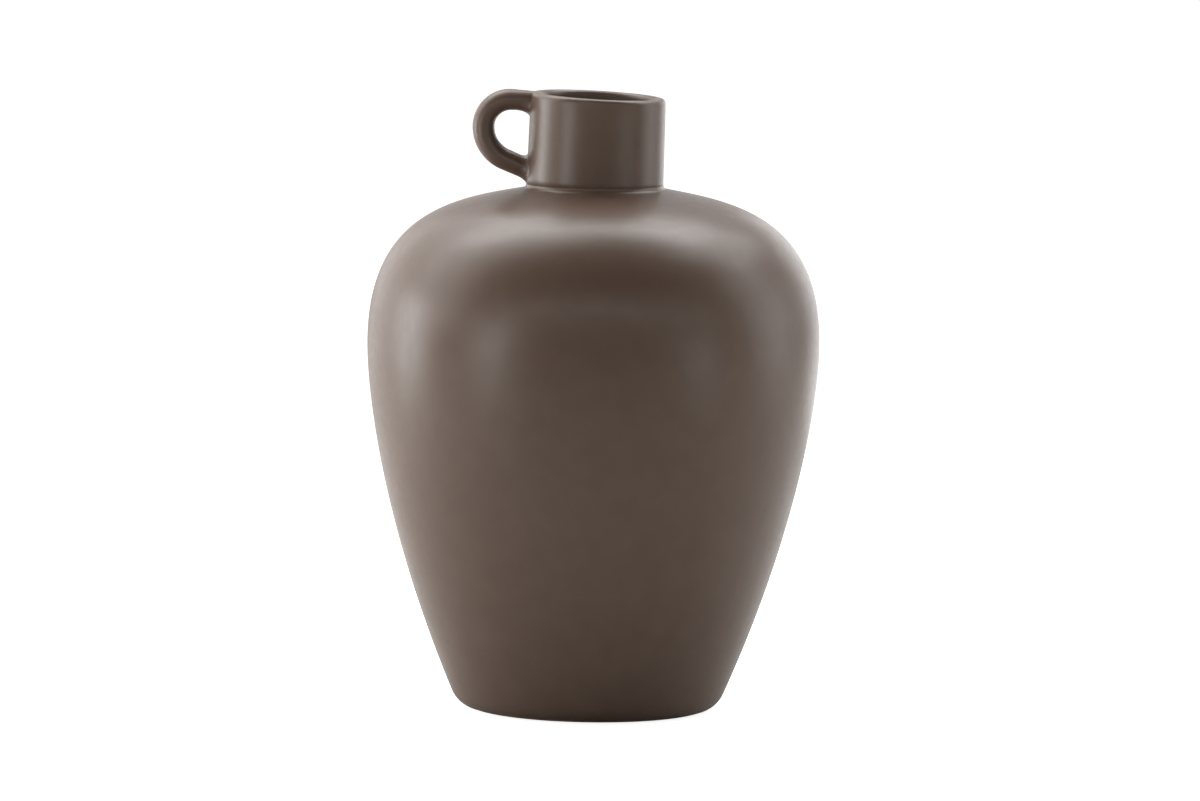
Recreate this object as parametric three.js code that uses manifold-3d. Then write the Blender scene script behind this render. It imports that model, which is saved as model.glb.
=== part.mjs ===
// A tall stoneware vase: an egg-shaped pot on a bare clay foot, with a short straight neck and a
// small round handle at one side of the neck. It is put together as a potter puts it together:
// the pot, the neck, the handle and the foot ring are separate pieces of clay. A thin layer of
// slip joins them, and more slip is worked into each inside corner.
// Millimetres, +Z up. The origin is the middle of the foot, on the table. The handle is at -X.

import * as THREE from "three";
import { mergeVertices } from "three/addons/utils/BufferGeometryUtils.js";
import Module from "manifold-3d";

// Heights above the table
const RIM_HEIGHT = 350; // middle of the rim
const NECK_HEIGHT = 52.8; // the neck's own height, from the shoulder to the rim
const SHOULDER_HEIGHT = RIM_HEIGHT - NECK_HEIGHT; // where the shoulder meets the neck
const BELLY_HEIGHT = 209;

// Outside of the pot
const BELLY_RADIUS = 128.5;
const SHOULDER_SLOPE = 12.5; // degrees below level, at the neck
const FOOT_RADIUS = 62.8; // outer edge of the flat that stands on the table
const CORNER_RADIUS = 16; // round between the foot and the wall
const WALL_LEAN = 23.4; // degrees from upright, just above the corner
// How strongly each curve holds its direction before it turns
const LOWER_PULL = 100;
const BELLY_PULL_DOWN = 32;
const BELLY_PULL_UP = 78;
const SHOULDER_PULL = 34;

// Clay of the pot
const WALL = 6;
const FLOOR = 6.5;
const FLOOR_ROUND = 10; // inside corner between the floor and the wall

// Foot ring
const FOOT_WIDTH = 9; // of the flat that stands on the table
const FOOT_RECESS = 3.4; // the floor stands this far above the table
const FOOT_DRAFT = 1; // how far the ring's inner wall leans in
const GLAZE_LINE = 1.5; // the glaze stops this far above the table

// Neck
const NECK_RADIUS = 38.3; // at the rim
const NECK_FLARE = 0.6; // how much wider it is at the shoulder
const NECK_WALL = 6.5;
const NECK_LEAN = 1.3; // degrees that the neck leans away from the handle
const NECK_SHIFT = 0.4; // how far from the pot's axis the middle of the rim stands
const LIP_ROUND = 2.6;

// Handle, measured from the middle of the rim
const HANDLE_DROP = 4.4; // rim to the middle of the level run
const HANDLE_REACH = 64.4; // neck's axis to the middle of the outermost point
const HANDLE_BEND = 15.3; // radius of the upper bend; the lower one follows from the rest
const HANDLE_SLOPE = 21.5; // degrees from level of the lower run
const HANDLE_CLEAR = 9.25; // shoulder to the middle of the lower end, along the neck
const HANDLE_THICK = 11.5; // at its ends, in the plane of the loop
const HANDLE_DEEP = 13.6; // at its ends, across the loop
const HANDLE_SWELL = 1; // how much thicker it is in the middle of its length

// Slip
const SLIP = 0.3; // layer between two pieces
const NECK_BEAD = 3.1; // hollow round between the neck and the shoulder
const UPPER_FLARE = 4.3; // how far slip spreads round the handle's upper end
const UPPER_FLARE_LENGTH = 9;
const LOWER_FLARE = 2.6;
const LOWER_FLARE_LENGTH = 5.4;

// Facets
const ROUND = 60; // round the pot and the neck
const OVAL = 16; // round the handle
const HANDLE_STEPS = 30;

const wasm = await Module();
wasm.setup();

const glaze = new THREE.MeshStandardMaterial({ color: 0x665246, roughness: 0.42, metalness: 0 });
const bareClay = new THREE.MeshStandardMaterial({ color: 0xb59f7c, roughness: 0.9, metalness: 0 });

const RAD = Math.PI / 180;
const sin = (degrees) => Math.sin(degrees * RAD);
const cos = (degrees) => Math.cos(degrees * RAD);
const tan = (degrees) => Math.tan(degrees * RAD);
const at = (r, z) => new THREE.Vector2(r, z);

// A point at this distance and angle from another one.
function from(start, distance, degrees) {
  return at(start.x + distance * cos(degrees), start.y + distance * sin(degrees));
}

function arc(middle, radius, first, last, steps) {
  const turns = Array.from({ length: steps + 1 }, (_, i) => first + ((last - first) * i) / steps);
  return turns.map((degrees) => from(middle, radius, degrees));
}

// A closed geometry as a solid that can be cut and joined.
function solid(geometry) {
  const bare = geometry.clone();
  bare.deleteAttribute("normal");
  bare.deleteAttribute("uv");
  const merged = mergeVertices(bare, 1e-4);
  const triVerts = new Uint32Array(merged.index.array);
  const vertProperties = merged.attributes.position.array;
  return new wasm.Manifold(new wasm.Mesh({ numProp: 3, vertProperties, triVerts }));
}

// A solid of revolution about Z. The profile is given as (r, z), anticlockwise, and it starts
// and ends on the axis.
function revolve(profile) {
  return solid(new THREE.LatheGeometry(profile, ROUND).rotateX(Math.PI / 2));
}

// The same for a profile that closes on itself.
function ring(profile) {
  return revolve([...profile, profile[0]]);
}

function disc(radius, low, high) {
  return revolve([at(0, low), at(radius, low), at(radius, high), at(0, high)]);
}

function cut(piece, ...tools) {
  return tools.reduce((left, tool) => left.subtract(tool), piece);
}

function mesh(name, piece, material) {
  const { vertProperties, triVerts } = piece.getMesh();
  const geometry = new THREE.BufferGeometry();
  geometry.setAttribute("position", new THREE.BufferAttribute(vertProperties, 3));
  geometry.setIndex(new THREE.BufferAttribute(triVerts, 1));
  const faceted = geometry.toNonIndexed();
  faceted.computeVertexNormals();
  const made = new THREE.Mesh(faceted, material);
  made.name = name;
  return made;
}

// The pot's outside in three curves: the corner above the foot, the wall and the shoulder.
function potCurves() {
  const corner = at(FOOT_RADIUS, CORNER_RADIUS);
  const wallFoot = from(corner, CORNER_RADIUS, -WALL_LEAN);
  const belly = at(BELLY_RADIUS, BELLY_HEIGHT);
  const neckFoot = at(NECK_RADIUS + NECK_FLARE, SHOULDER_HEIGHT);
  const [start, end] = [-Math.PI / 2, -WALL_LEAN * RAD];
  const round = new THREE.EllipseCurve(corner.x, corner.y, CORNER_RADIUS, CORNER_RADIUS, start, end);
  const wall = new THREE.CubicBezierCurve(
    wallFoot,
    from(wallFoot, LOWER_PULL, 90 - WALL_LEAN),
    from(belly, BELLY_PULL_DOWN, -90),
    belly,
  );
  const shoulder = new THREE.CubicBezierCurve(
    belly,
    from(belly, BELLY_PULL_UP, 90),
    from(neckFoot, SHOULDER_PULL, -SHOULDER_SLOPE),
    neckFoot,
  );
  return [
    { curve: round, steps: 5 },
    { curve: wall, steps: 10 },
    { curve: shoulder, steps: 13 },
  ];
}

// The pot's outside moved outwards by this much, from the foot up, and closed over the top.
function potLine(outwards) {
  const points = [];
  for (const { curve, steps } of potCurves()) {
    for (let i = points.length ? 1 : 0; i <= steps; i++) {
      const tangent = curve.getTangent(i / steps);
      points.push(curve.getPoint(i / steps).addScaledVector(at(tangent.y, -tangent.x), outwards));
    }
  }
  const neckFoot = points.at(-1);
  return [...points, at(0, neckFoot.y + neckFoot.x * tan(SHOULDER_SLOPE))];
}

// Where the glaze stops, as an angle round the corner.
const GLAZE_ANGLE = Math.asin(GLAZE_LINE / CORNER_RADIUS - 1) / RAD;

// A point at this height, on the corner's radius at this angle.
function onCorner(degrees, height) {
  return at(FOOT_RADIUS + (height - CORNER_RADIUS) / tan(degrees), height);
}

// The pot without its hollow. Its flat underside has a short skirt down to the glaze line.
function makePotBlank() {
  const skirt = [onCorner(GLAZE_ANGLE, FOOT_RECESS), onCorner(GLAZE_ANGLE, GLAZE_LINE)];
  const wall = potLine(0).filter((point) => point.y > GLAZE_LINE);
  return revolve([at(0, FOOT_RECESS), ...skirt, ...wall]);
}

// The hollow follows the outside at the wall's thickness, down to a round at the floor.
function makeHollow() {
  const floorTop = FOOT_RECESS + FLOOR;
  const wallFoot = from(at(FOOT_RADIUS, CORNER_RADIUS), CORNER_RADIUS - WALL, -WALL_LEAN);
  const touchHeight = floorTop + FLOOR_ROUND * (1 - sin(WALL_LEAN));
  const touch = at(wallFoot.x + (touchHeight - wallFoot.y) * tan(WALL_LEAN), touchHeight);
  const middle = from(touch, FLOOR_ROUND, 180 - WALL_LEAN);
  const wall = potLine(-WALL).filter((point) => point.y > touchHeight);
  return revolve([at(0, floorTop), ...arc(middle, FLOOR_ROUND, -90, -WALL_LEAN, 4), ...wall]);
}

// The ring fits inside the skirt and stands on the table. Its outside carries the corner on.
function makeFootRing() {
  const edge = GLAZE_ANGLE - SLIP / CORNER_RADIUS / RAD;
  const top = FOOT_RECESS - SLIP;
  const inner = FOOT_RADIUS - FOOT_WIDTH;
  return ring([
    at(inner, 0),
    ...arc(at(FOOT_RADIUS, CORNER_RADIUS), CORNER_RADIUS, -90, edge, 4),
    onCorner(edge, top),
    at(inner - FOOT_DRAFT, top),
  ]);
}

// The neck's own place: its origin is the middle of the rim, and it leans with the neck.
const neckGroup = new THREE.Group();
neckGroup.position.set(NECK_SHIFT, 0, RIM_HEIGHT);
neckGroup.rotation.y = NECK_LEAN * RAD;
neckGroup.updateMatrix();
const inPot = (piece) => piece.transform(neckGroup.matrix.toArray());
const inNeck = (piece) => piece.transform(neckGroup.matrix.clone().invert().toArray());

const NECK_END = NECK_HEIGHT + CORNER_RADIUS; // well inside the pot, before it is fitted
const BORE_RADIUS = NECK_RADIUS - NECK_WALL;
const neckRadius = (drop) => NECK_RADIUS + (NECK_FLARE * drop) / NECK_HEIGHT;

// The neck's outside as a plug, grown by a layer of slip and carried up past the handle.
function makeNeckPlug() {
  return revolve([
    at(0, -NECK_END),
    at(neckRadius(NECK_END) + SLIP, -NECK_END),
    at(NECK_RADIUS + SLIP, 0),
    at(NECK_RADIUS + SLIP, HANDLE_THICK),
    at(0, HANDLE_THICK),
  ]);
}

function makeNeck(shoulder) {
  const tube = ring([
    at(BORE_RADIUS, -NECK_END),
    at(neckRadius(NECK_END), -NECK_END),
    ...arc(at(NECK_RADIUS - LIP_ROUND, -LIP_ROUND), LIP_ROUND, 0, 90, 4),
    ...arc(at(BORE_RADIUS + LIP_ROUND, -LIP_ROUND), LIP_ROUND, 90, 180, 4),
  ]);
  return cut(tube, shoulder);
}

// The handle's middle line: a level run out of the neck, two bends, and a sloping run back in to
// its lower end. The lower bend is the one that touches both the outermost point and that run.
class HandleLine extends THREE.Curve {
  constructor() {
    super();
    this.lowerDrop = NECK_HEIGHT - HANDLE_CLEAR;
    const upper = at(HANDLE_BEND - HANDLE_REACH, -HANDLE_DROP - HANDLE_BEND);
    const end = at(-neckRadius(this.lowerDrop), -this.lowerDrop);
    const across = (-end.x - HANDLE_REACH) * sin(HANDLE_SLOPE);
    const lowerBend = (across + (upper.y - end.y) * cos(HANDLE_SLOPE)) / (1 - sin(HANDLE_SLOPE));
    const lower = at(lowerBend - HANDLE_REACH, upper.y);
    this.path = new THREE.Path();
    this.path.moveTo(-BORE_RADIUS, -HANDLE_DROP);
    this.path.lineTo(upper.x, -HANDLE_DROP);
    this.path.absarc(upper.x, upper.y, HANDLE_BEND, Math.PI / 2, Math.PI);
    const turned = (270 - HANDLE_SLOPE) * RAD;
    this.path.absarc(lower.x, lower.y, lowerBend, Math.PI, turned);
    this.path.lineTo(-BORE_RADIUS, end.y - (-BORE_RADIUS - end.x) * tan(HANDLE_SLOPE));
  }

  getPoint(t) {
    const point = this.path.getPoint(t);
    return new THREE.Vector3(point.x, 0, point.y);
  }

}

// The handle as a potter makes it: a coil of clay rolled a little thinner at its ends, then bent
// along the line. It is grown by this much, and its ends aren't fitted to the neck yet.
function makeRod(line, grown) {
  const side = [];
  for (let i = 0; i <= HANDLE_STEPS; i++) {
    const along = i / HANDLE_STEPS;
    side.push(at((HANDLE_THICK + HANDLE_SWELL * sin(180 * along)) / 2 + grown, along));
  }
  const coil = new THREE.LatheGeometry([at(0, 0), ...side, at(0, 1)], OVAL);
  const across = new THREE.Vector3(0, 1, 0);
  const { position } = coil.attributes;
  for (let i = 0; i < position.count; i++) {
    const along = position.getY(i);
    const outwards = line.getTangentAt(along).cross(across);
    const point = line.getPointAt(along).addScaledVector(outwards, position.getX(i));
    point.y = position.getZ(i) * (HANDLE_DEEP / HANDLE_THICK);
    position.setXYZ(i, ...point);
  }
  return solid(coil);
}

// Slip spread round one end of the handle. It is widest at the neck and hollows out to nothing
// along the rod.
function makeFlare({ drop, slope, flare, length }, grown) {
  const half = HANDLE_THICK / 2 + grown;
  const hollow = [0, 18, 36, 54, 72, 90].map((degrees) =>
    at(half + flare * (1 - sin(degrees)), (length + grown) * (1 - cos(degrees))),
  );
  const ends = [at(0, -NECK_WALL), at(half + flare, -NECK_WALL)];
  const profile = [...ends, ...hollow, at(0, length + grown)];
  const geometry = new THREE.LatheGeometry(profile, OVAL, Math.PI / OVAL);
  // The lathe's axis becomes the way out of the neck, and each slice slides up with the rod.
  const place = new THREE.Matrix4().set(
    0, -1, 0, -neckRadius(drop),
    0, 0, -HANDLE_DEEP / HANDLE_THICK, 0,
    1 / cos(slope), tan(slope), 0, -drop,
    0, 0, 0, 1,
  );
  return solid(geometry.applyMatrix4(place));
}

// Slip in the corner between the neck and the shoulder, with a hollow round that touches both.
function makeNeckBead() {
  const corner = at(neckRadius(NECK_HEIGHT), SHOULDER_HEIGHT);
  const rise = (NECK_BEAD * (1 - sin(SHOULDER_SLOPE))) / cos(SHOULDER_SLOPE);
  const middle = at(corner.x + NECK_BEAD, corner.y + rise);
  const hollow = arc(middle, NECK_BEAD, 270 - SHOULDER_SLOPE, 180, 4);
  const [inside, below] = [corner.x - NECK_BEAD, corner.y - NECK_BEAD];
  const bead = ring([at(inside, below), at(hollow[0].x, below), ...hollow, at(inside, middle.y)]);
  return bead.translate([NECK_SHIFT - NECK_HEIGHT * sin(NECK_LEAN), 0, 0]);
}

// Assembly
const line = new HandleLine();
const upperEnd = {
  drop: HANDLE_DROP,
  slope: 0,
  flare: UPPER_FLARE,
  length: UPPER_FLARE_LENGTH,
};
const lowerEnd = {
  drop: line.lowerDrop,
  slope: HANDLE_SLOPE,
  flare: LOWER_FLARE,
  length: LOWER_FLARE_LENGTH,
};

const shoulder = revolve([at(0, 0), ...potLine(SLIP)]);
const plug = makeNeckPlug();
const bore = disc(BORE_RADIUS, -NECK_END, LIP_ROUND);
const overLip = disc(HANDLE_REACH, -LIP_ROUND, HANDLE_THICK);
const rod = makeRod(line, 0);
const rodAndSlip = makeRod(line, SLIP);
const lowerAndSlip = makeFlare(lowerEnd, SLIP);

const pot = cut(makePotBlank(), makeHollow(), inPot(bore));
const neck = makeNeck(inNeck(shoulder));
const handle = cut(rod, plug, inNeck(shoulder));
const upperJoint = cut(makeFlare(upperEnd, 0), rodAndSlip, plug, overLip);
const lowerJoint = cut(makeFlare(lowerEnd, 0), rodAndSlip, plug, inNeck(shoulder));
const neckBead = cut(makeNeckBead(), shoulder, inPot(plug), inPot(rodAndSlip), inPot(lowerAndSlip));

const vase = new THREE.Group();
vase.add(mesh("pot_body", pot, glaze));
vase.add(mesh("foot_ring", makeFootRing(), bareClay));
vase.add(mesh("neck_joint_bead", neckBead, glaze));
vase.add(neckGroup);
neckGroup.add(mesh("neck", neck, glaze));
neckGroup.add(mesh("handle", handle, glaze));
neckGroup.add(mesh("handle_upper_joint", upperJoint, glaze));
neckGroup.add(mesh("handle_lower_joint", lowerJoint, glaze));

export default vase;
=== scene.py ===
# %% [markdown]
# # A stoneware vase
#
# The vase is an egg-shaped pot with a short straight neck, a small loop handle and a foot of bare
# clay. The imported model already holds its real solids, in metres, with +Z up and the table at
# z = 0. They are true in size but made of flat facets, with 60 sides round the pot. A satin glaze
# shows every facet, so this lesson turns each piece again, with the same measures and many more
# steps. Then it gives the pieces their glaze and clay, and lights them as in a small studio.

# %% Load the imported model
import math

import bmesh
import bpy
from mathutils import Matrix, Vector
from mathutils.geometry import interpolate_bezier


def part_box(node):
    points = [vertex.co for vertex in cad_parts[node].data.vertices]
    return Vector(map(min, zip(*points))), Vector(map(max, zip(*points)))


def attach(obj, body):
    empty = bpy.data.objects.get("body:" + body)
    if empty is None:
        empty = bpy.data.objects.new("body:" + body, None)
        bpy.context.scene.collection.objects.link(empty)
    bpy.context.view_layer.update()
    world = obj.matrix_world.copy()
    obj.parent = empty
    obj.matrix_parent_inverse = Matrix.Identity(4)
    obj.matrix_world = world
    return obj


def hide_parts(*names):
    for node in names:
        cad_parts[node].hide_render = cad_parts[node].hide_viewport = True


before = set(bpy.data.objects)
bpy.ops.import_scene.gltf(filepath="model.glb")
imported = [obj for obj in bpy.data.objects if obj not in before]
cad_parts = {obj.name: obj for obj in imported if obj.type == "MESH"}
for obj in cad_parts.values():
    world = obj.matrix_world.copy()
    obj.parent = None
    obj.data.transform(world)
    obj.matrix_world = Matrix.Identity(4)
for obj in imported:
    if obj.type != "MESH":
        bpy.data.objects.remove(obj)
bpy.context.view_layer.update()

print("solids:", ", ".join(sorted(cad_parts)))

# %% [markdown]
# ## Measures
#
# A potter works from a few measures: how wide the belly is and at what height, how the shoulder
# meets the neck, how thick the clay is. These are the ones that the solids were made from, so
# every piece made here falls on the solid that it stands for.

# %% The measures
MM = 0.001

BELLY_RADIUS = 128.5 * MM
BELLY_HEIGHT = 209 * MM
RIM_HEIGHT = 350 * MM
NECK_HEIGHT = 52.8 * MM
SHOULDER_HEIGHT = RIM_HEIGHT - NECK_HEIGHT  # where the shoulder meets the neck
SHOULDER_SLOPE = 12.5  # degrees below level, at the neck
FOOT_RADIUS = 62.8 * MM  # outer edge of the flat that stands on the table
CORNER_RADIUS = 16 * MM  # round between the foot and the wall
WALL_LEAN = 23.4  # degrees from upright, just above the corner
LOWER_PULL = 100 * MM  # how long each curve holds its direction before it turns
BELLY_PULL_DOWN = 32 * MM
BELLY_PULL_UP = 78 * MM
SHOULDER_PULL = 34 * MM

WALL = 6 * MM
FLOOR = 6.5 * MM  # the pot's own floor
FLOOR_ROUND = 10 * MM  # round between that floor and the wall, inside
FOOT_WIDTH = 9 * MM
FOOT_RECESS = 3.4 * MM  # the pot's floor stands this far above the table
FOOT_DRAFT = 1 * MM  # the ring is this much wider at its top, inside
GLAZE_LINE = 1.5 * MM  # the glaze stops this far above the table
GLAZE_COAT = 0.25 * MM  # how far the glaze stands out from the bare clay
UNDER_GLAZE = 1.5  # degrees that the bare ring goes on round the corner, under the glaze

NECK_RADIUS = 38.3 * MM
NECK_FLARE = 0.6 * MM  # added to the neck's radius, down at its foot
NECK_WALL = 6.5 * MM
NECK_SUNK = 1.2 * MM  # how far its foot sinks into the shoulder
NECK_LEAN = 1.3  # degrees away from the handle
NECK_SHIFT = 0.4 * MM  # the middle of the rim stands this far from the pot's axis
RIM_LEAN = 1  # degrees that the rim leans more than the neck
RIM_LEAN_DROP = 18 * MM  # and how far below the rim this extra lean starts
LIP_ROUND = 2.6 * MM
NECK_BEAD = 3.1 * MM  # hollow round between the neck and the shoulder

HANDLE_DROP = 4.4 * MM  # rim to the middle of the upper end
HANDLE_REACH = 64.4 * MM  # the neck's axis to the middle of the coil, at the far side of the loop
HANDLE_BEND = 15.3 * MM  # the upper bend; the lower one follows from the rest
HANDLE_SLOPE = 21.5  # degrees that the lower run drops towards the neck
HANDLE_CLEAR = 9.25 * MM  # shoulder to the middle of the lower end, along the neck
HANDLE_THICK = 11.5 * MM
HANDLE_DEEP = 13.6 * MM
HANDLE_SWELL = 1 * MM  # the coil is this much thicker halfway
HANDLE_SUNK = 2 * MM  # its ends stop this far outside the neck's bore
LOOP_TOP = 2 * MM  # how far above the rim's middle the coil may stand, out in the loop
LIP_TOP = 0.5 * MM  # and at the lip
TOP_RUN = 6 * MM  # how far outside the neck its top starts to go down to the lip
UPPER_FLARE = 4.3 * MM  # how far the slip stands out from the coil, at the neck
UPPER_FLARE_LENGTH = 9 * MM  # and how far it runs along the coil
LOWER_FLARE = 2.6 * MM
LOWER_FLARE_LENGTH = 5.4 * MM

WALL_POINTS = 56
SHOULDER_POINTS = 64
NECK_STEPS = 8
BEND_STEPS = 24
ROUND = 240  # steps round the pot and the neck
OVAL = 48  # steps round the handle
print("the rim is", RIM_HEIGHT / MM, "mm high and the belly is", 2 * BELLY_RADIUS / MM, "mm wide")

# %% [markdown]
# ## Drawing a profile
#
# A thrown or cast pot is round, so its whole shape is in one line: the profile, from the axis
# outwards. Here it is drawn with a few small helpers. One goes a distance in a direction, one
# draws an arc, one moves a line sideways by the wall's thickness, and Blender's own Bezier function
# draws the long easy curves of the wall.

# %% Helpers for profiles
def point(r, z):
    return Vector((r, 0, z))


def onwards(start, distance, degrees):
    turn = math.radians(degrees)
    return start + distance * point(math.cos(turn), math.sin(turn))


def arc(middle, radius, first, last, steps):
    return [onwards(middle, radius, first + (last - first) * i / steps) for i in range(steps + 1)]


def eased(value, start, end):
    """Goes smoothly from 0 at the start to 1 at the end."""
    share = min(max((value - start) / (end - start), 0), 1)
    return share * share * (3 - 2 * share)


def moved_out(line, distance):
    """The line moved sideways by this much, away from the pot's axis."""
    made = []
    for i, here in enumerate(line):
        along = (line[min(i + 1, len(line) - 1)] - line[max(i - 1, 0)]).normalized()
        made.append(here + distance * point(along.z, -along.x))
    return made


# %% [markdown]
# ### The outside of the pot
#
# From the table upwards it is a round at the foot, a long curve up to the belly, and another one
# over the shoulder to the foot of the neck.

# %% The pot's outside
CORNER = point(FOOT_RADIUS, CORNER_RADIUS)  # middle of the round at the foot


def pot_line():
    """The pot's outside, from the table to the foot of the neck."""
    wall_foot = onwards(CORNER, CORNER_RADIUS, -WALL_LEAN)
    belly = point(BELLY_RADIUS, BELLY_HEIGHT)
    neck_foot = point(NECK_RADIUS + NECK_FLARE, SHOULDER_HEIGHT)
    wall = interpolate_bezier(
        wall_foot,
        onwards(wall_foot, LOWER_PULL, 90 - WALL_LEAN),
        onwards(belly, BELLY_PULL_DOWN, -90),
        belly,
        WALL_POINTS,
    )
    shoulder = interpolate_bezier(
        belly,
        onwards(belly, BELLY_PULL_UP, 90),
        onwards(neck_foot, SHOULDER_PULL, -SHOULDER_SLOPE),
        neck_foot,
        SHOULDER_POINTS,
    )
    return arc(CORNER, CORNER_RADIUS, -90, -WALL_LEAN, steps=20) + wall[1:] + shoulder[1:]


outside = pot_line()
print("the pot's outside is a line of", len(outside), "points")

# %% [markdown]
# ## Turning a profile
#
# Spin carries the profile round the axis, as the wheel does. The ends that lie on the axis come
# out as many points in one place, so they are merged, and then the faces are made to point
# outwards. A real edge in clay is never quite sharp: an edge of more than 35 degrees gets a small
# bevel, which also gives it the thin line of light that a fired edge has.

# %% Spin, round the edges, and make an object
SHARP = math.radians(35)
SAME_PLACE = 0.001 * MM
pieces = {}


def spun(profile, closed=False):
    bm = bmesh.new()
    verts = [bm.verts.new(p) for p in profile]
    pairs = list(zip(verts, verts[1:])) + ([(verts[-1], verts[0])] if closed else [])
    edges = [bm.edges.new(pair) for pair in pairs]
    bmesh.ops.spin(
        bm,
        geom=verts + edges,
        cent=(0, 0, 0),
        axis=(0, 0, 1),
        angle=math.tau,
        steps=ROUND,
        use_merge=True,
        use_duplicate=False,
    )
    bmesh.ops.remove_doubles(bm, verts=bm.verts, dist=SAME_PLACE)
    bmesh.ops.recalc_face_normals(bm, faces=bm.faces)
    return bm


def round_edges(bm, radius):
    sharp = [e for e in bm.edges if e.is_manifold and e.calc_face_angle() > SHARP]
    bmesh.ops.bevel(
        bm, geom=sharp, offset=radius, segments=3, profile=0.5, affect="EDGES", material=-1
    )


def finished(name, bm, node):
    """Turns a bmesh into a smooth piece that rides on the vase and stands for a solid."""
    mesh = bpy.data.meshes.new(name)
    bm.to_mesh(mesh)
    bm.free()
    mesh.polygons.foreach_set("use_smooth", [True] * len(mesh.polygons))
    piece = bpy.data.objects.new(name, mesh)
    bpy.context.scene.collection.objects.link(piece)
    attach(piece, "root")
    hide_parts(node)
    pieces[name] = piece
    low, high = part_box(node)
    size = [round(v / MM, 1) for v in piece.dimensions]
    print(name, "has", len(mesh.polygons), "faces and measures", size, "mm; its solid",
          [round(v / MM, 1) for v in high - low])


# %% [markdown]
# ## The pot
#
# Its profile runs from the middle of the underside out to the glaze line, up the wall and over the
# shoulder to the hole under the neck, then back down inside to the floor. So the hollow and the
# outside are one closed skin with the wall's true thickness between them. The neck leans a little,
# so the ring of the hole is slid to lie under it.

# %% Points and lines of the pot
BORE_RADIUS = NECK_RADIUS - NECK_WALL
SLOPE = math.tan(math.radians(SHOULDER_SLOPE))
# how far round the corner the glaze line is, in degrees
GLAZE_ANGLE = math.degrees(math.asin(GLAZE_LINE / CORNER_RADIUS - 1))


def on_corner(height):
    """A point at this height, on the line from the corner's middle to the glaze line."""
    run = (height - CORNER.z) / math.tan(math.radians(GLAZE_ANGLE))
    return point(CORNER.x + run, height)


def shoulder_at(r):
    """Height of the shoulder's straight run under the neck."""
    return SHOULDER_HEIGHT + (NECK_RADIUS + NECK_FLARE - r) * SLOPE


def inside_line():
    """The hollow, from the middle of its floor to the shoulder."""
    lean = math.radians(WALL_LEAN)
    floor_top = FOOT_RECESS + FLOOR
    wall_foot = onwards(CORNER, CORNER_RADIUS - WALL, -WALL_LEAN)
    touch_height = floor_top + FLOOR_ROUND * (1 - math.sin(lean))  # where round and wall meet
    touch = point(wall_foot.x + (touch_height - wall_foot.z) * math.tan(lean), touch_height)
    middle = onwards(touch, FLOOR_ROUND, 180 - WALL_LEAN)
    wall = [p for p in moved_out(outside, -WALL) if p.z > touch_height + MM]
    return [point(0, floor_top)] + arc(middle, FLOOR_ROUND, -90, -WALL_LEAN, steps=12) + wall


# %% Make the pot
HAIR = 0.1 * MM  # points closer than this count as one place
hole = BORE_RADIUS + 0.15 * MM  # a little wider than the neck's bore, so no two skins share a place
wall_drop = WALL / math.cos(math.radians(SHOULDER_SLOPE))
profile = [point(0, FOOT_RECESS), on_corner(FOOT_RECESS), on_corner(GLAZE_LINE)]
profile += [p for p in outside if p.z > GLAZE_LINE + HAIR]
profile += [point(hole, shoulder_at(hole)), point(hole, shoulder_at(hole) - wall_drop)]
profile += inside_line()[::-1]
bm = spun(profile)
hole_ring = [v for v in bm.verts
             if v.co.xy.length < hole + HAIR and v.co.z > SHOULDER_HEIGHT - WALL]
neck_slide = NECK_SHIFT - NECK_HEIGHT * math.tan(math.radians(NECK_LEAN))
bmesh.ops.translate(bm, verts=hole_ring, vec=(neck_slide, 0, 0))
round_edges(bm, 0.3 * MM)
finished("vase_pot", bm, "pot_body")

# %% [markdown]
# ## The foot ring
#
# Glaze would stick the vase to the kiln shelf, so the ring that it stands on is wiped clean. Its
# outside carries the pot's corner on down to the table, a glaze coat's thickness further in.

# %% Make the foot ring
FOOT_STEPS = 12
foot_top = FOOT_RECESS + 0.3 * MM  # just inside the pot's clay
foot_top_inset = 1.2 * MM  # and this far in from its corner
foot_inner = FOOT_RADIUS - FOOT_WIDTH
profile = [point(foot_inner, 0)]
for i in range(FOOT_STEPS + 1):
    turn = -90 + (GLAZE_ANGLE + UNDER_GLAZE + 90) * i / FOOT_STEPS
    profile.append(onwards(CORNER, CORNER_RADIUS - GLAZE_COAT * i / FOOT_STEPS, turn))
profile.append(point(profile[-1].x - foot_top_inset, foot_top))
profile.append(point(foot_inner - FOOT_DRAFT, foot_top))
bm = spun(profile, closed=True)
round_edges(bm, 0.5 * MM)
finished("foot", bm, "foot_ring")

# %% [markdown]
# ## The neck
#
# A straight tube with a rounded lip. It is turned upright, with the middle of its rim at the
# origin, and then one matrix leans it and puts it on the shoulder. Its foot ends inside the
# shoulder's clay, as if the two had been pressed together. The rim wasn't cut quite square: it
# leans 1 degree more than the neck does, so the top of the tube is sheared by that much.

# %% Make the neck
NECK_PLACE = Matrix.Translation((NECK_SHIFT, 0, RIM_HEIGHT)) @ Matrix.Rotation(
    math.radians(NECK_LEAN), 4, "Y"
)


def neck_radius(drop):
    return NECK_RADIUS + NECK_FLARE * drop / NECK_HEIGHT


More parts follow.
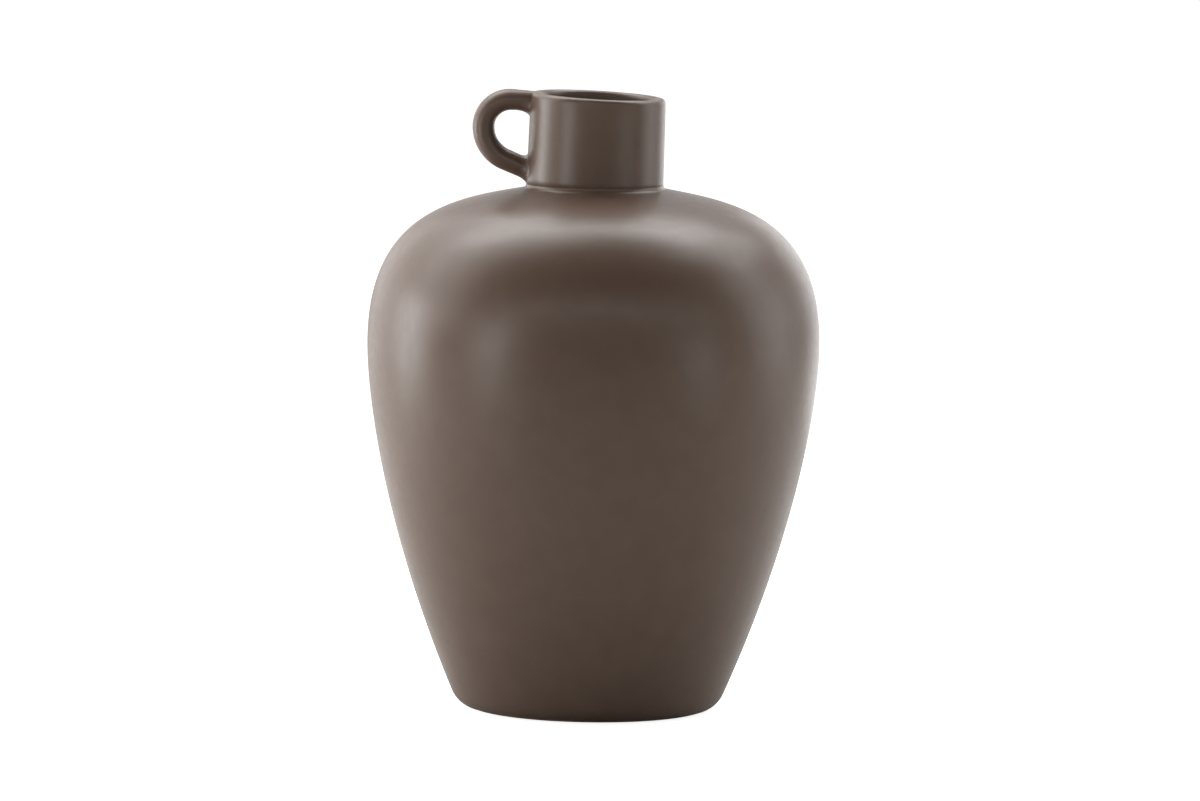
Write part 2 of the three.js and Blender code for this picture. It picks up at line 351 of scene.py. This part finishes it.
sunk = NECK_HEIGHT + NECK_SUNK
drops = [sunk * i / NECK_STEPS for i in range(1, NECK_STEPS + 1)]
profile = [point(BORE_RADIUS, -sunk + NECK_WALL * SLOPE)]
profile += [point(neck_radius(drop), -drop) for drop in reversed(drops)]
profile += arc(point(NECK_RADIUS - LIP_ROUND, -LIP_ROUND), LIP_ROUND, 0, 90, steps=12)
profile += arc(point(BORE_RADIUS + LIP_ROUND, -LIP_ROUND), LIP_ROUND, 90, 180, steps=12)
profile += [point(BORE_RADIUS, -drop) for drop in drops[:-1]]
bm = spun(profile, closed=True)
rim_shear = math.tan(math.radians(RIM_LEAN))
for v in bm.verts:
    v.co.z -= v.co.x * rim_shear * eased(v.co.z, -RIM_LEAN_DROP, -LIP_ROUND)
bmesh.ops.transform(bm, matrix=NECK_PLACE, verts=bm.verts)
finished("vase_neck", bm, "neck")

# %% [markdown]
# ## The slip round the neck
#
# The potter runs a wet finger round the joint, and its tip leaves a hollow round that touches both
# the neck and the shoulder. Each edge runs on for 3 mm and bends away by 3 degrees, so that it
# sinks under its neighbour at a very flat angle and the glaze looks like one coat. The whole round
# then leans with the neck.

# %% The slip's profile
SINK_RADIUS = 60 * MM
SINK_BEND = 3  # degrees
neck_foot = point(neck_radius(NECK_HEIGHT), SHOULDER_HEIGHT)
slope = math.radians(SHOULDER_SLOPE)
widening = NECK_FLARE / NECK_HEIGHT
rise = NECK_BEAD * (1 - math.sin(slope)) / math.cos(slope)
middle = point(neck_foot.x + NECK_BEAD - rise * widening, neck_foot.z + rise)


def sinking(start, angle, bend):
    """Goes on from the round's end, and bends away under its neighbour."""
    centre = onwards(start, SINK_RADIUS, angle + 180)
    return arc(centre, SINK_RADIUS, angle, angle + bend, steps=4)[1:]


hollow = arc(middle, NECK_BEAD, 270 - SHOULDER_SLOPE, 180 + math.degrees(widening), steps=14)
outer_edge = sinking(hollow[0], 90 - SHOULDER_SLOPE, -SINK_BEND)
upper_edge = sinking(hollow[-1], math.degrees(widening), SINK_BEND)
buried = [  # the slip's back, out of sight in the clay
    upper_edge[-1] - point(2 * MM, 0),
    neck_foot - point(2 * MM, 1.5 * MM),
    onwards(outer_edge[-1], 1 * MM, -120),
]
profile = outer_edge[::-1] + hollow + upper_edge + buried
print("the slip's profile has", len(profile), "points")

# %% Make the slip round the neck
bm = spun(profile, closed=True)
for v in bm.verts:
    v.co.x += (v.co.z - neck_foot.z) * math.tan(math.radians(NECK_LEAN))
bead_tilt = Matrix.Rotation(math.atan(neck_slide * SLOPE / neck_foot.x), 4, "Y")
bead_centre = Matrix.Translation((0, 0, neck_foot.z))
bead_slide = Matrix.Translation((neck_slide, 0, 0))
bead_place = bead_slide @ bead_centre @ bead_tilt @ bead_centre.inverted()
bmesh.ops.transform(bm, matrix=bead_place, verts=bm.verts)
finished("neck_slip", bm, "neck_joint_bead")

# %% [markdown]
# ## The handle
#
# A coil of clay, rolled a little thinner at its ends and bent into a finger loop. A swept piece
# can be a curve with a bevel, but a mesh lets the section change along the way. It starts as one
# oval ring. The ring is extruded again and again, and each new ring is carried to the next place
# on the loop's middle line.

# %% A sweep
def is_new(kind, made):
    return [g for g in made["geom"] if isinstance(g, kind)]


def swept(places, ring_turn=Matrix.Identity(4)):
    """Carries an oval ring through these places and closes both ends."""
    bm = bmesh.new()
    bmesh.ops.create_circle(bm, segments=OVAL, radius=1, cap_ends=True)
    bmesh.ops.transform(bm, matrix=places[0] @ ring_turn, verts=bm.verts)
    edges = list(bm.edges)
    for before, after in zip(places, places[1:]):
        made = bmesh.ops.extrude_edge_only(bm, edges=edges)
        verts = is_new(bmesh.types.BMVert, made)
        bmesh.ops.transform(bm, matrix=after @ before.inverted(), verts=verts)
        edges = [e for e in is_new(bmesh.types.BMEdge, made) if all(v in verts for v in e.verts)]
    bmesh.ops.edgeloop_fill(bm, edges=edges)
    bmesh.ops.recalc_face_normals(bm, faces=bm.faces)
    return bm


# %% [markdown]
# ### The loop's middle line
#
# It starts inside the neck's wall, goes out level, turns down through the upper bend and back
# through the lower one, and runs straight down to the neck. The lower bend's radius is the one
# that lets the straight run end at the right height.

# %% The loop's middle line
LOWER_DROP = NECK_HEIGHT - HANDLE_CLEAR
HANDLE_END = BORE_RADIUS + HANDLE_SUNK
RUN_STEPS = 8


def handle_line():
    """Points of the loop's middle line from the neck, with the way it heads, in degrees."""
    slope = math.radians(HANDLE_SLOPE)
    upper = point(HANDLE_BEND - HANDLE_REACH, -HANDLE_DROP - HANDLE_BEND)
    end = point(-neck_radius(LOWER_DROP), -LOWER_DROP)
    across = (-end.x - HANDLE_REACH) * math.sin(slope)
    lower_bend = (across + (upper.z - end.z) * math.cos(slope)) / (1 - math.sin(slope))
    lower = point(lower_bend - HANDLE_REACH, upper.z)
    last_turn = 270 - HANDLE_SLOPE
    stops = [(point(-HANDLE_END, -HANDLE_DROP), 180), (point(-NECK_RADIUS, -HANDLE_DROP), 180)]
    for i in range(BEND_STEPS + 1):
        turn = 90 + 90 * i / BEND_STEPS
        stops.append((onwards(upper, HANDLE_BEND, turn), turn + 90))
    for i in range(1, BEND_STEPS + 1):  # the lower bend starts where the upper one ends
        turn = 180 + (last_turn - 180) * i / BEND_STEPS
        stops.append((onwards(lower, lower_bend, turn), turn + 90))
    bend_end = stops[-1][0]
    for i in range(1, RUN_STEPS + 1):
        run = (-HANDLE_END - bend_end.x) * i / RUN_STEPS
        stops.append((bend_end + point(run, -run * math.tan(slope)), last_turn + 90))
    return stops


line = handle_line()
walked = [0.0]
for (a, _), (b, _) in zip(line, line[1:]):
    walked.append(walked[-1] + (b - a).length)
print("the loop's middle line is", round(walked[-1] / MM), "mm long")

# %% [markdown]
# ### The coil
#
# At each place on the line the ring is turned to face along it and scaled to the coil's thickness
# there. The coil's top is then pressed down near the neck, so that it ends level with the lip.

# %% Make the handle
DEEPER = HANDLE_DEEP / HANDLE_THICK  # the coil is this many times as deep as it is thick


def swell(share):
    """Half the coil's thickness, at this share of its length."""
    return (HANDLE_THICK + HANDLE_SWELL * math.sin(math.pi * share)) / 2


def coil_top(x):
    """Height that the coil's top is pressed down to: lower at the lip than out in the loop."""
    pressed = eased(x, -NECK_RADIUS - TOP_RUN, -NECK_RADIUS + LIP_ROUND)
    return LOOP_TOP - (LOOP_TOP - LIP_TOP) * pressed


places = []
for (here, heading), way in zip(line, walked):
    half = swell(way / walked[-1])
    turn = Matrix.Rotation(math.radians(90 - heading), 4, "Y")
    places.append(Matrix.Translation(here) @ turn @ Matrix.Diagonal((half, half * DEEPER, 1, 1)))
bm = swept(places)
for v in bm.verts:
    v.co.z = min(v.co.z, coil_top(v.co.x))
bmesh.ops.transform(bm, matrix=NECK_PLACE, verts=bm.verts)
finished("handle_coil", bm, "handle")

# %% [markdown]
# ## The slip at the handle's ends
#
# More slip is spread round each end, widest at the neck and hollowing out to nothing along the
# coil. It is swept too, straight out of the neck. Then each point slides along the coil until the
# wide end lies on the round of the neck. Most of the upper slip is below the coil. It runs out
# before the coil's top, which is level with the rim.

# %% Make both flares
FLARE_STEPS = 15  # along the slip's hollow
FLARE_SUNK = 1.5 * MM  # how far its wide end sinks into the neck
THIN_EDGE = 0.04 * MM  # and its thin edge into the coil
OPEN_TOP = 0.3 * MM  # and its open top
TOP_GAP = 0.2 * MM  # how far it stays below the coil's pressed top
GONE_FROM, GONE_AT = -1.0, 0.4  # it runs out from straight below the coil to a little above level
LYING = Matrix.Rotation(math.radians(90), 4, "Y")  # turns a flat ring to face along the coil
share_at_neck = (NECK_WALL - HANDLE_SUNK) / walked[-1]


def flare(name, node, drop, slope, spread, length, open_top=False):
    rise = math.tan(math.radians(slope))
    thicker = 1 / math.cos(math.radians(slope))  # a sloping coil is cut at a slant
    radius = neck_radius(drop)

    def coil_half(out):
        return swell(share_at_neck + max(out, 0) / walked[-1])

    stops = []  # how far out from the neck, and how much wider than the coil
    for i in range(FLARE_STEPS + 1):
        turn = math.radians(90 - 90 * i / FLARE_STEPS)
        stops.append((length * (1 - math.cos(turn)), spread * (1 - math.sin(turn)) - THIN_EDGE))
    stops.append((-FLARE_SUNK, spread))
    places = []
    for out, wider in stops:
        half = coil_half(out) + wider
        place = Matrix.Translation((-radius - out, 0, -drop + rise * out))
        places.append(place @ Matrix.Diagonal((1, half * DEEPER, half * thicker, 1)))
    bm = swept(places, LYING)
    for v in bm.verts:
        out = -v.co.x - radius
        side = v.co - Vector((v.co.x, 0, -drop + rise * out))
        if open_top:
            wider = min(stops, key=lambda stop: abs(stop[0] - out))[1]
            gone = eased(side.z / side.length, GONE_FROM, GONE_AT)
            v.co -= side * gone * (wider + OPEN_TOP) / (coil_half(out) + wider)
            v.co.z = min(v.co.z, coil_top(v.co.x) - TOP_GAP)
        inwards = radius - math.sqrt(radius**2 - v.co.y**2)
        v.co += inwards * Vector((1, 0, -rise))
    bmesh.ops.transform(bm, matrix=NECK_PLACE, verts=bm.verts)
    finished(name, bm, node)


flare("upper_slip", "handle_upper_joint", HANDLE_DROP, 0, UPPER_FLARE, UPPER_FLARE_LENGTH,
      open_top=True)
flare("lower_slip", "handle_lower_joint", LOWER_DROP, HANDLE_SLOPE, LOWER_FLARE, LOWER_FLARE_LENGTH)

# %% [markdown]
# ## Materials
#
# A finish starts as its real name. The vase has two: a satin stoneware glaze, and bare stoneware
# clay. Colours are written as on a screen and turned to linear light by one function. The others
# each add one thing: a node with its settings and links, coordinates on the piece, a ramp, soft
# noise, relief, a blend of two colours, or the surface itself.

# %% Helpers for materials
def linear(hex_colour):
    parts = [int(hex_colour[i : i + 2], 16) / 255 for i in (1, 3, 5)]
    return [c / 12.92 if c <= 0.04045 else ((c + 0.055) / 1.055) ** 2.4 for c in parts] + [1]


def add(tree, kind, settings, links=()):
    """A node with its settings, by name, and its links, as (socket, where it comes from)."""
    node = tree.nodes.new(kind)
    for name, value in settings.items():
        if name in node.inputs:
            node.inputs[name].default_value = value
        else:
            setattr(node, name, value)
    for socket, source in links:
        tree.links.new(source, node.inputs[socket])
    return node


def new_material(name):
    material = bpy.data.materials.new(name)
    material.use_nodes = True
    material.node_tree.nodes.clear()
    return material, material.node_tree


def coordinates(tree, kind):
    return add(tree, "ShaderNodeTexCoord", {}).outputs[kind]


def ramp(tree, value, start, end, low, high):
    """Goes from low to high while the value goes from start to end."""
    settings = {"From Min": start, "From Max": end, "To Min": low, "To Max": high}
    return add(tree, "ShaderNodeMapRange", settings, [("Value", value)]).outputs["Result"]


def noise(tree, where, size, detail):
    """Soft noise whose blotches are about this wide."""
    settings = {"Scale": 1 / size, "Detail": detail, "Roughness": 0.5}
    return add(tree, "ShaderNodeTexNoise", settings, [("Vector", where)]).outputs["Fac"]


def between(tree, value, low, high):
    """Spreads the middle of the noise over this range."""
    return ramp(tree, value, 0.3, 0.7, low, high)


def relief(tree, value, height):
    settings = {"Strength": 1, "Distance": height}
    return add(tree, "ShaderNodeBump", settings, [("Height", value)]).outputs["Normal"]


def blend(tree, share, first, second):
    """The first colour where the share is 0, and the second where it is 1."""
    node = add(tree, "ShaderNodeMix", {"data_type": "RGBA"}, [(0, share)])
    node.inputs[6].default_value = linear(first)  # its colour A
    node.inputs[7].default_value = linear(second)  # its colour B
    return node.outputs[2]  # its colour result


def surface(tree, settings, links):
    shader = add(tree, "ShaderNodeBsdfPrincipled", settings, links)
    add(tree, "ShaderNodeOutputMaterial", {}, [("Surface", shader.outputs["BSDF"])])


# %% [markdown]
# ### Satin stoneware glaze
#
# A taupe glaze fired until it is smooth but full of tiny crystals, so it gives a broad soft shine
# and no sharp reflections. Its depth varies a little from place to place, over about 14 mm, and
# the fired skin has a fine orange peel of about 1.3 mm. Glass has an index of 1.5.

# %% The glaze
glaze, tree = new_material("satin stoneware glaze")
where = coordinates(tree, "Object")
depth = between(tree, noise(tree, where, 14 * MM, detail=3), 0, 1)
shine = between(tree, noise(tree, where, 5 * MM, detail=2), 0.32, 0.37)
peel = relief(tree, noise(tree, where, 1.3 * MM, detail=2), 0.02 * MM)
thin, thick = "#635044", "#5F4C40"
surface(
    tree,
    {"IOR": 1.5, "Metallic": 0},
    [("Base Color", blend(tree, depth, thin, thick)), ("Roughness", shine), ("Normal", peel)],
)
glazed = [name for name in pieces if name != "foot"]
for name in glazed:
    pieces[name].data.materials.append(glaze)
print("glazed:", glazed)

# %% [markdown]
# ### Bare stoneware clay
#
# Buff clay, fired hard but never polished: dry, slightly toasted by the kiln, and gritty with
# grains of grog about 0.8 mm wide.

# %% The bare clay
clay, tree = new_material("bare stoneware clay")
where = coordinates(tree, "Object")
toast = between(tree, noise(tree, where, 9 * MM, detail=3), 0, 1)
grit = relief(tree, noise(tree, where, 0.8 * MM, detail=4), 0.08 * MM)
pale, toasted = "#C0A57C", "#AB8F68"
surface(
    tree,
    {"IOR": 1.5, "Roughness": 0.9},
    [("Base Color", blend(tree, toast, pale, toasted)), ("Normal", grit)],
)
pieces["foot"].data.materials.append(clay)
print("left bare: foot")

# %% [markdown]
# ## The camera
#
# The photo was taken from 5.6 m away, 5.9 degrees above level, with a long lens. In it the vase
# is turned clockwise by 1 degree, so the camera is rolled the other way.

# %% The camera
AIM = Vector((4.3, 0, 176.05)) * MM
DISTANCE = 5.6
ELEVATION = math.radians(5.9)
ROLL = math.radians(1.0)
look = Vector((0, math.cos(ELEVATION), -math.sin(ELEVATION)))
camera = bpy.data.objects.new("camera", bpy.data.cameras.new("camera"))
bpy.context.scene.collection.objects.link(camera)
camera.data.sensor_fit = "HORIZONTAL"
camera.data.sensor_width = 36
camera.data.lens = 295.5
camera.data.clip_end = 100
camera.location = AIM - DISTANCE * look
level = look.to_track_quat("-Z", "Y").to_matrix().to_4x4()
camera.rotation_euler = (level @ Matrix.Rotation(ROLL, 4, "Z")).to_euler()
bpy.context.scene.camera = camera
print("the camera stands at", [round(v, 3) for v in camera.location])

# %% [markdown]
# ## The studio
#
# A pale floor, a pale backdrop and soft lamps. Behind the vase the studio is nearly white and gets
# darker upwards, which draws the thin bright rims on the vase's sides. On the camera's side it is
# dark. Rays from the camera see plain white where there is no vase, and so do rays through clear
# things. Glossy rays see a part of that white, and only behind the vase. The floor is lit by the
# lamps too, and it glows a little less under the vase, so a faint shadow is left there.

# %% White for the camera
def math_node(tree, operation, *values):
    node = add(tree, "ShaderNodeMath", {"operation": operation})
    for socket, value in enumerate(values):
        if isinstance(value, bpy.types.NodeSocket):
            tree.links.new(value, node.inputs[socket])
        else:
            node.inputs[socket].default_value = value
    return node.outputs[0]


def seen_white(tree, away, white, mirrored):
    """White for the camera and for clear things. Glossy ones see a part of it behind the vase."""
    rays = add(tree, "ShaderNodeLightPath", {}).outputs
    # away is in metres on the floor, and in the world it is the Y of a direction
    behind = ramp(tree, away, 0.1, 0.6, 0, 1)
    glossy = math_node(tree, "MULTIPLY", rays["Is Glossy Ray"], behind)
    glossy = math_node(tree, "MULTIPLY", glossy, mirrored)
    seen = math_node(tree, "MAXIMUM", rays["Is Camera Ray"], rays["Is Transmission Ray"])
    seen = math_node(tree, "MULTIPLY", seen, white)
    return math_node(tree, "MAXIMUM", seen, glossy)


# %% The floor
FLOOR_REACH = 25  # metres
PAPER_GLOW = 0.92  # what the paper needs, besides the lamps' light, to look white
PAPER_GLOW_NEAR = 0.87  # and under the vase, where a faint shadow is kept
PAPER_MIRRORED = 0.32  # how much of it glossy things see
floor_mesh = bpy.data.meshes.new("floor")
bm = bmesh.new()
bmesh.ops.create_circle(bm, segments=96, radius=FLOOR_REACH, cap_ends=True)
bm.to_mesh(floor_mesh)
bm.free()
floor = bpy.data.objects.new("floor", floor_mesh)
bpy.context.scene.collection.objects.link(floor)

paper, tree = new_material("white paper floor")
matt = add(tree, "ShaderNodeBsdfDiffuse", {"Color": linear("#CFCDCA")})
where = coordinates(tree, "Object")
away = add(tree, "ShaderNodeSeparateXYZ", {}, [("Vector", where)]).outputs["Y"]
length = add(tree, "ShaderNodeVectorMath", {"operation": "LENGTH"}, [(0, where)])
white = ramp(tree, length.outputs["Value"], 0.05, 0.5, PAPER_GLOW_NEAR, PAPER_GLOW)
shown = seen_white(tree, away, white, PAPER_MIRRORED)
glow = add(tree, "ShaderNodeEmission", {}, [("Strength", shown)])
both = add(tree, "ShaderNodeAddShader", {}, [(0, matt.outputs[0]), (1, glow.outputs[0])])
add(tree, "ShaderNodeOutputMaterial", {}, [("Surface", both.outputs[0])])
floor_mesh.materials.append(paper)
print("the floor reaches", FLOOR_REACH, "m from the vase")

# %% The surroundings
BACKDROP = 0.88  # how bright the studio is behind the vase, where 1 is white
HIGH_BACKDROP = 0.5  # and higher up
ROOM = 0.2  # and on the camera's side, below the dark ceiling
world = bpy.data.worlds.new("studio")
bpy.context.scene.world = world
world.use_nodes = True
tree = world.node_tree
tree.nodes.clear()
direction = coordinates(tree, "Generated")
# of a direction, Y is 1 straight behind the vase, and Z is 1 straight up
axes = add(tree, "ShaderNodeSeparateXYZ", {}, [("Vector", direction)]).outputs
behind = ramp(tree, axes["Y"], -0.1, 0.35, 0, 1)
walls = ramp(tree, axes["Z"], 0.4, 0.65, ROOM, 0)
backdrop = ramp(tree, axes["Z"], 0.1, 0.5, BACKDROP, HIGH_BACKDROP)
light = add(tree, "ShaderNodeMix", {"data_type": "FLOAT"},
            [("Factor", behind), ("A", walls), ("B", backdrop)])
shown = seen_white(tree, axes["Y"], 1, HIGH_BACKDROP)
shown = math_node(tree, "MAXIMUM", light.outputs[0], shown)
studio = add(tree, "ShaderNodeBackground", {"Color": (1, 1, 1, 1)}, [("Strength", shown)])
add(tree, "ShaderNodeOutputWorld", {}, [("Surface", studio.outputs[0])])
print("the backdrop is", BACKDROP, "of white, and the room", ROOM)

# %% [markdown]
# ## The lamps
#
# Each softbox is placed as a photographer would say it: how far round the vase it stands, where 0
# is in front and plus is to the right, how far up, and how far away. It looks at the vase, or it is
# feathered: turned or tilted away, so that the vase is in the soft edge of its light. The three
# overhead draw the broad shine on the shoulder, those at the sides draw the light edges, and those
# in front draw the soft streaks on the neck and the belly.

# %% The lamps
VASE_MIDDLE = Vector((0, 0, 0.18))


def outwards(around, up):
    """The way from the vase to a place this far round it and this far up, in degrees."""
    around, up = math.radians(around), math.radians(up)
    return Vector((math.sin(around) * math.cos(up), -math.cos(around) * math.cos(up), math.sin(up)))


def softbox(name, around, up, distance, width, height, brightness, turned=0, tilted=0):
    """A soft rectangular lamp. Its brightness is 1 where it is as bright as white paper."""
    lamp = bpy.data.lights.new(name, "AREA")
    lamp.shape = "RECTANGLE"
    lamp.size, lamp.size_y = width, height
    lamp.energy = brightness * math.pi * width * height
    holder = bpy.data.objects.new(name, lamp)
    holder.location = VASE_MIDDLE + distance * outwards(around, up)
    facing = -outwards(around + turned, up + tilted)
    holder.rotation_euler = facing.to_track_quat("-Z", "Y").to_euler()
    holder.visible_camera = False
    bpy.context.scene.collection.objects.link(holder)
    print(name, "gives", round(lamp.energy, 1), "W")


softbox("overhead, left", -165, 65, 1.6, 1.9, 0.75, 4.1, turned=-15, tilted=50)
softbox("overhead, right", 125, 50, 2.15, 1.55, 1.3, 2.6, tilted=15)
softbox("overhead, behind", 180, 50, 1.5, 1.0, 0.35, 3.9, tilted=50)
softbox("left high softbox", -95, 35, 0.9, 0.6, 1.5, 1.9, turned=25, tilted=25)
softbox("left low softbox", -100, 3, 1.05, 0.4, 0.45, 5.6, turned=-30, tilted=-5)
softbox("left panel behind", -125, 20, 0.95, 0.95, 1.15, 1.0, turned=-20, tilted=15)
softbox("left front softbox", -52, 3, 1.05, 0.5, 0.45, 3.6, turned=50, tilted=-15)
softbox("right softbox", 95, 17, 1.15, 0.6, 1.05, 1.5, turned=30)
softbox("right front softbox", 54, 0, 0.7, 0.4, 0.25, 1.2, turned=-50, tilted=-35)
softbox("right softbox behind", 150, 8, 0.7, 0.35, 0.45, 1.4)
softbox("strip in front", 30, 23, 0.8, 1.95, 0.15, 1.6, turned=-30, tilted=-50)

# %% [markdown]
# ## Colours and the end
#
# Colours are shown as they are written.

# %% Colours as written, and the end
bpy.context.scene.view_settings.view_transform = "Standard"
